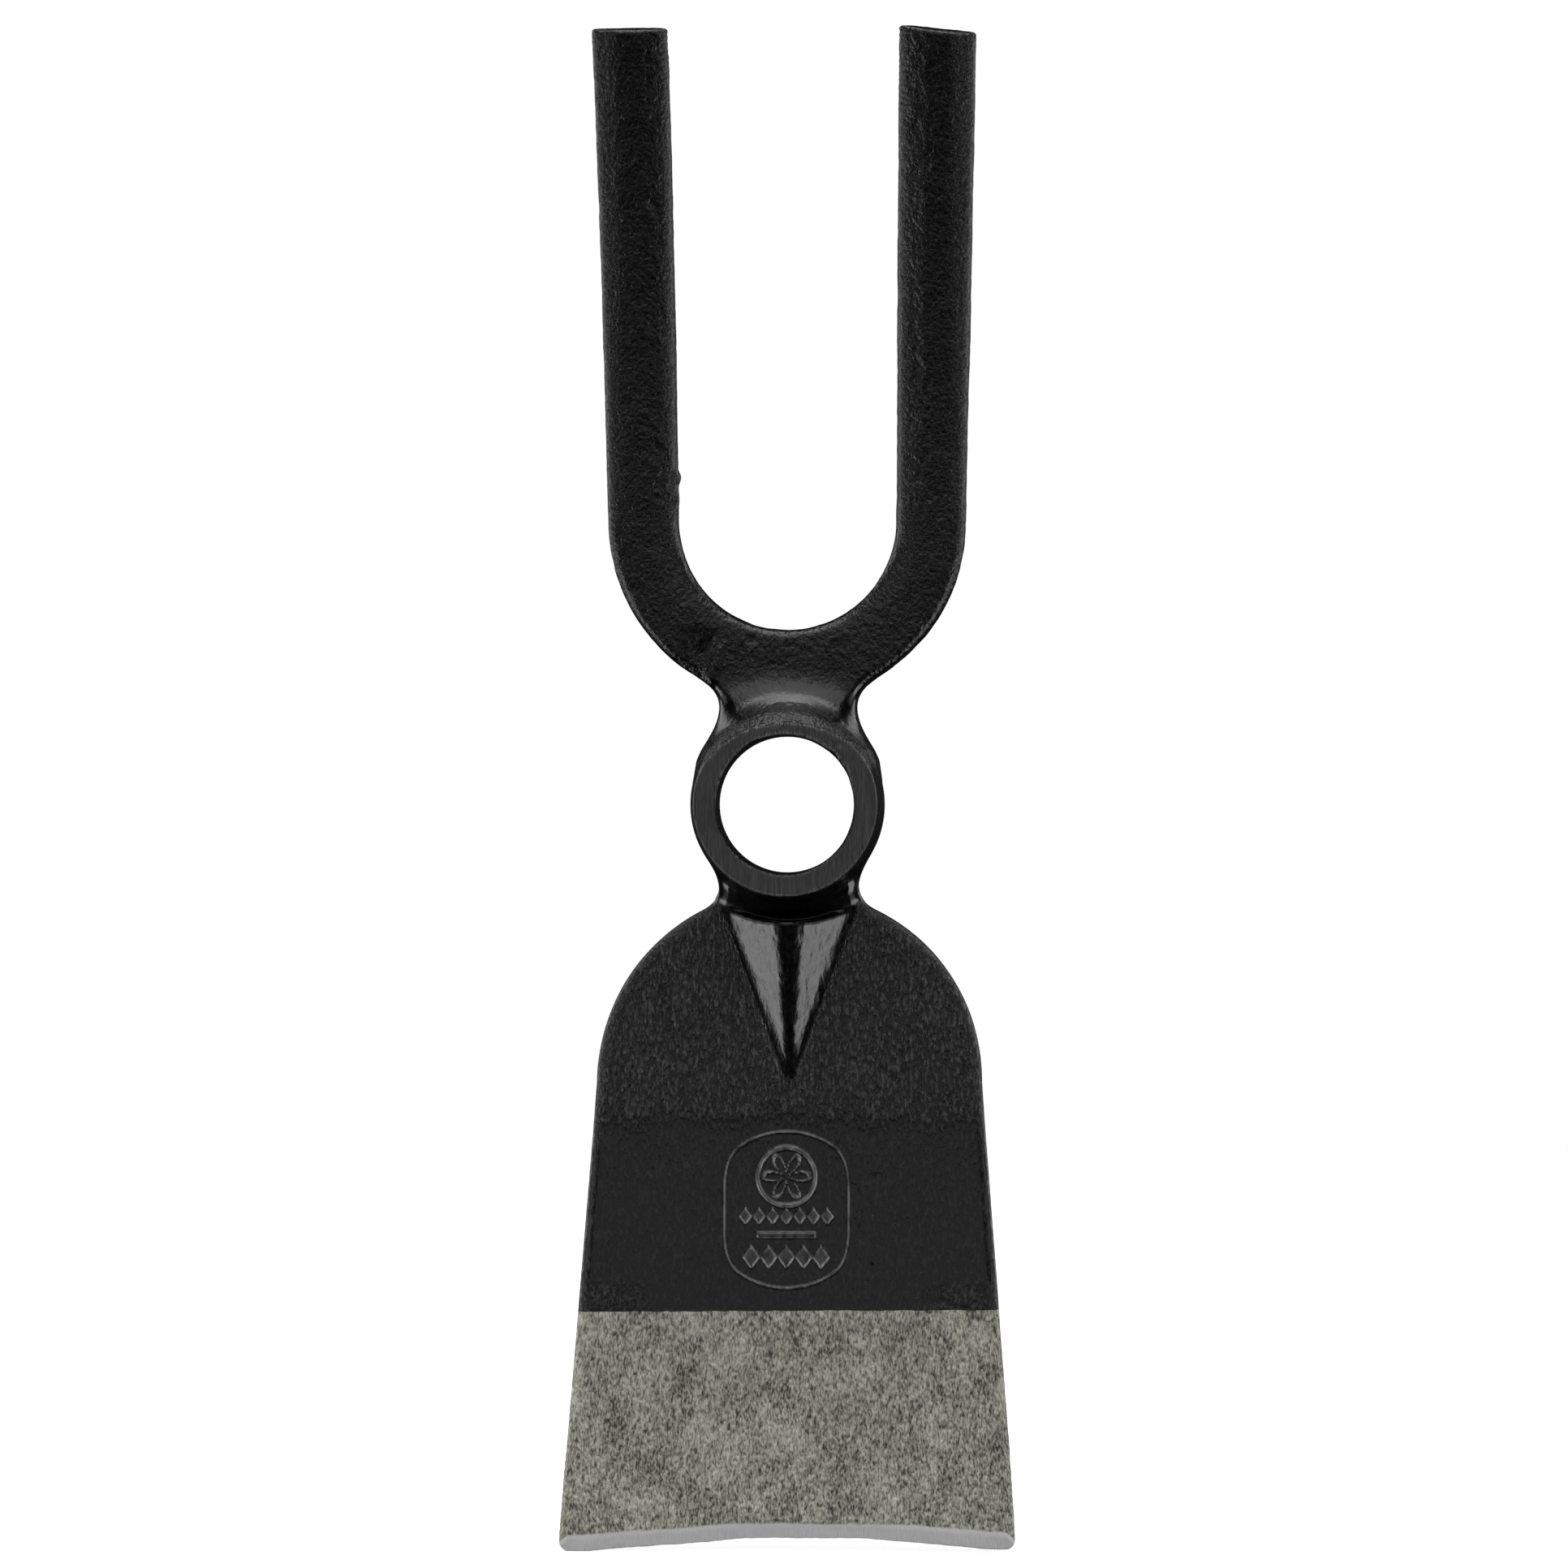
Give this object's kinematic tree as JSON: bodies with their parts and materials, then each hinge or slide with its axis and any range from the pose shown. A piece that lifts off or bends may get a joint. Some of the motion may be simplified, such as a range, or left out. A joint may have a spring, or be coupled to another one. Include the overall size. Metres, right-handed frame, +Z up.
{
  "type": "draw hoe head",
  "caption": "Forged combination hoe head: a round handle eye between a two-tine fork above and a square-mouthed blade below, black with a bare ground edge band.",
  "frame": {"origin": "middle of the handle eye, on its axis", "axes": "+Z up the fork, -Z down the blade; +Y along the eye's axis to the far mouth, where the handle is driven in; -Y to the user; +X to the right as the user sees it"},
  "size_m": [0.083, 0.0364, 0.2755],
  "materials": {
    "black_lacquer": "black lacquer over forge scale, semi-gloss, worn on its edges",
    "ground_steel": "bare ground carbon steel, mottled satin"
  },
  "bodies": {
    "root": {"eye_socket": "black_lacquer", "fork_neck": "black_lacquer", "fork_crotch": "black_lacquer", "left_tine": "black_lacquer", "right_tine": "black_lacquer", "blade_neck": "black_lacquer", "stiffening_rib": "black_lacquer", "blade_plate": "black_lacquer", "cutting_bit": "ground_steel"}
  },
  "joints": []
}
